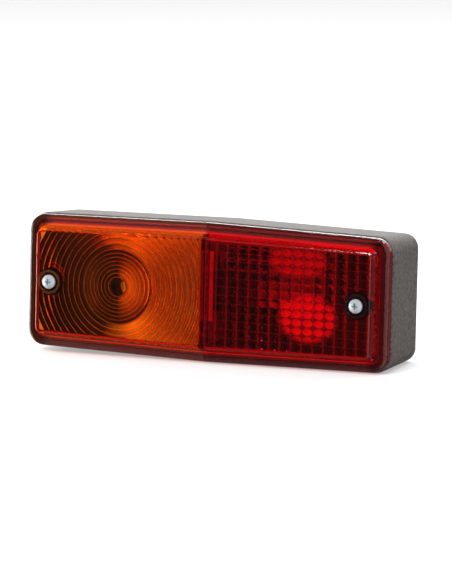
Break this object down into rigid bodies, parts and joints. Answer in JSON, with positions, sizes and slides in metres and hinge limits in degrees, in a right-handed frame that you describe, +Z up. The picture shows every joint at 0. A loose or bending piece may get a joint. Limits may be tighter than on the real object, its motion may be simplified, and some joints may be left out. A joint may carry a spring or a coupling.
{
  "type": "tail light cluster",
  "caption": "Rear lamp with an amber ring-optic turn lens beside a red pillow-optic tail and stop lens, screwed to a deep dark grey housing with mounting bolts and a cable entry behind",
  "frame": {"origin": "middle of the rear mounting face", "axes": "lens faces -Y, +Y out of the rear face along the mounting bolts, +Z up, +X to the right as seen from the front"},
  "size_m": [0.198, 0.0698, 0.071],
  "materials": {
    "housing_plastic": "fine moulded texture",
    "amber_lens": "clear amber, polished",
    "red_lens": "clear red, polished",
    "zinc_steel": "bright zinc plate",
    "bright_sheet": "bright sheet",
    "brass": "plain",
    "insulator": "pressed board",
    "clear_glass": "clear",
    "filament_wire": "drawn wire",
    "rubber": "moulded",
    "foam": "pale closed-cell foam",
    "dull_steel": "passivated, dull"
  },
  "bodies": {
    "root": {"housing": "housing_plastic", "cable_grommet": "rubber", "mounting_bolts": "zinc_steel", "lens_gasket": "foam", "amber_lens": "amber_lens", "red_lens": "red_lens", "lens_screws": "zinc_steel", "reflector_plate": "bright_sheet", "socket_bracket": "bright_sheet", "bracket_screws": "zinc_steel", "earth_strip": "bright_sheet", "socket_rivets": "zinc_steel", "turn_socket": "dull_steel", "stop_socket": "dull_steel", "turn_insulator": "insulator", "stop_insulator": "insulator", "turn_contact": "brass", "stop_contact": "brass", "tail_contact": "brass", "turn_bulb_cap": "brass", "stop_bulb_cap": "brass", "turn_bulb_glass": "clear_glass", "stop_bulb_glass": "clear_glass", "turn_filament": "filament_wire", "stop_filament": "filament_wire"}
  },
  "joints": []
}
